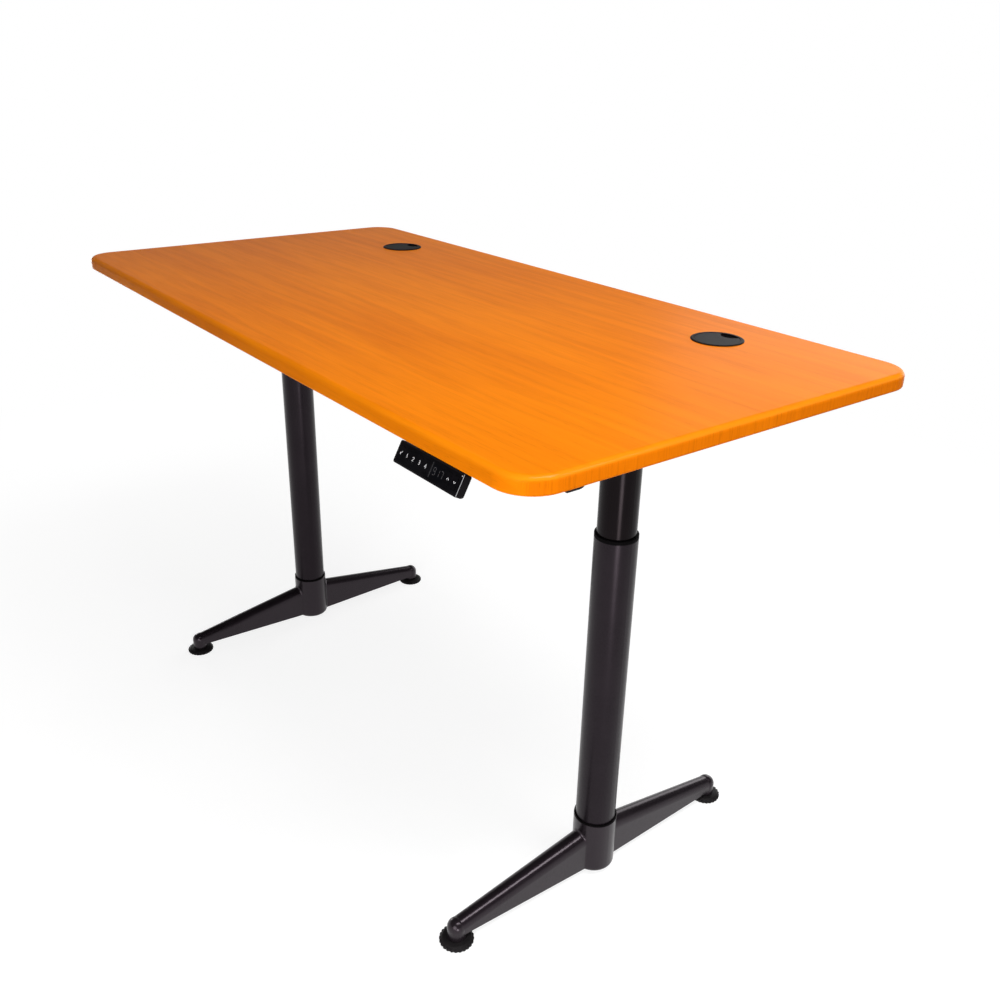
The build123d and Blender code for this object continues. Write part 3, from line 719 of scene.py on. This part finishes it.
# studio: the camera sees white all round, gloss and glass see white walls under a dim ceiling,
# and the object is lit by soft lamps
studio = {
    "ambient": 0.10,
    "wallTop": 0.10,  # heights in the sky, 0 at the horizon and 1 overhead
    "ceiling": 0.50,
    "floorSize": 120.0,
    "floorTone": colour(0.34, 0.34, 0.34),
    "bounceTone": colour(0.55, 0.55, 0.55),
    "floorGlow": 0.82,
    "whiteFrom": 0.8,  # the floor's shadow fades to white between these distances
    "whiteTo": 2.6,
}
white = colour(1, 1, 1)
lamps = {
    "key": {"place": (1.37, -0.47, 2.95), "aim": (0.8, -0.3, 0.9), "size": 0.7, "power": 17},
    "overhead": {"place": (1.64, 0.45, 3.05), "aim": (0.6, 0.1, 0.9), "size": 1.25, "power": 42},
    "rear": {"place": (2.3, 1.7, 2.6), "aim": (0.7, 0.0, 0.9), "size": 0.5, "power": 3},
    "front": {"place": (1.5, -1.8, 1.0), "aim": (0.6, -0.38, 0.8), "size": 1.4, "power": 23},
    "low": {"place": (1.75, -0.80, 0.17), "aim": (0.537, 0.0, 0.75), "size": 0.42, "power": 5.5},
    "strip": {"place": (1.37, -0.55, 0.05), "aim": (0.537, 0.0, 0.5), "size": 0.26, "power": 0.5},
    "card": {"place": (-1.3, 3.3, 2.1), "aim": (0.6, 0.1, 0.917), "size": 1.8, "power": 24},
    "left": {"place": (-3.2, -0.1, 0.42), "aim": (-0.76, 0.0, 0.85), "size": 0.9, "power": 16},
    "back": {"place": (-0.3, 3.4, 0.95), "aim": (0.0, 0.38, 0.85), "size": 2.2, "power": 20},
}


def seenWhite(start, mirrored=1.0):  # the share of white in what is seen, straight or in gloss and glass
    camera, gloss, glass = (start.node("LightPath", None, None, out=name)
                            for name in ("Is Camera Ray", "Is Glossy Ray", "Is Transmission Ray"))
    return camera.atLeast(gloss.atLeast(glass) * mirrored)


def addSky():
    world = bpy.data.worlds.new("studio")
    scene.world = world
    world.use_nodes = True
    world.node_tree.nodes.clear()
    start = Wire(world.node_tree)
    room = start.node("Background", None, {"Color": white, "Strength": studio["ambient"]})
    bright = start.node("Background", None, {"Color": white, "Strength": 1.0})
    rise = parted(start.node("TexCoord", None, None, out="Generated"))[2]
    walls = 1 - rise.stepped(studio["wallTop"], studio["ceiling"])
    shown = start.node("MixShader", None, {0: seenWhite(start, walls), 1: room, 2: bright})
    start.node("OutputWorld", None, {"Surface": shown})


def paleFloor():
    finish, start = newFinish("paleFloor")
    bounce = start.node("BsdfDiffuse", None, {"Color": studio["bounceTone"]})
    lit = start.node("BsdfDiffuse", None, {"Color": studio["floorTone"]})
    glow = start.node("Emission", None, {"Color": white, "Strength": studio["floorGlow"]})
    bright = start.node("Emission", None, {"Color": white, "Strength": 1.0})
    away = start.node("VectorMath", {"operation": "LENGTH"}, {0: spot(start)}, out="Value")
    faded = away.stepped(studio["whiteFrom"], studio["whiteTo"])
    near = start.node("AddShader", None, {0: lit, 1: glow})
    seen = start.node("MixShader", None, {0: faded, 1: near, 2: bright})
    shown = start.node("MixShader", None, {0: seenWhite(start), 1: bounce, 2: seen})
    start.node("OutputMaterial", None, {"Surface": shown})
    return finish


def addFloor():
    mesh = bmesh.new()
    bmesh.ops.create_grid(mesh, x_segments=1, y_segments=1, size=studio["floorSize"] / 2)
    data = bpy.data.meshes.new("floor")
    mesh.to_mesh(data)
    mesh.free()
    data.materials.append(paleFloor())
    floor = bpy.data.objects.new("floor", data)
    scene.collection.objects.link(floor)


def addStudioLamps():
    for name, look in lamps.items():
        lamp = bpy.data.lights.new(name, "AREA")
        lamp.shape = "DISK"
        lamp.size = look["size"]
        lamp.energy = look["power"]
        holder = bpy.data.objects.new(name, lamp)
        scene.collection.objects.link(holder)
        holder.visible_camera = False
        aim = Vector(look["aim"]) - Vector(look["place"])
        turn = aim.to_track_quat("-Z", "Y").to_matrix().to_4x4()
        holder.matrix_world = Matrix.Translation(look["place"]) @ turn


addCamera()
addSky()
addFloor()
addStudioLamps()
scene.view_settings.view_transform = "Standard"
print("studio and camera set")
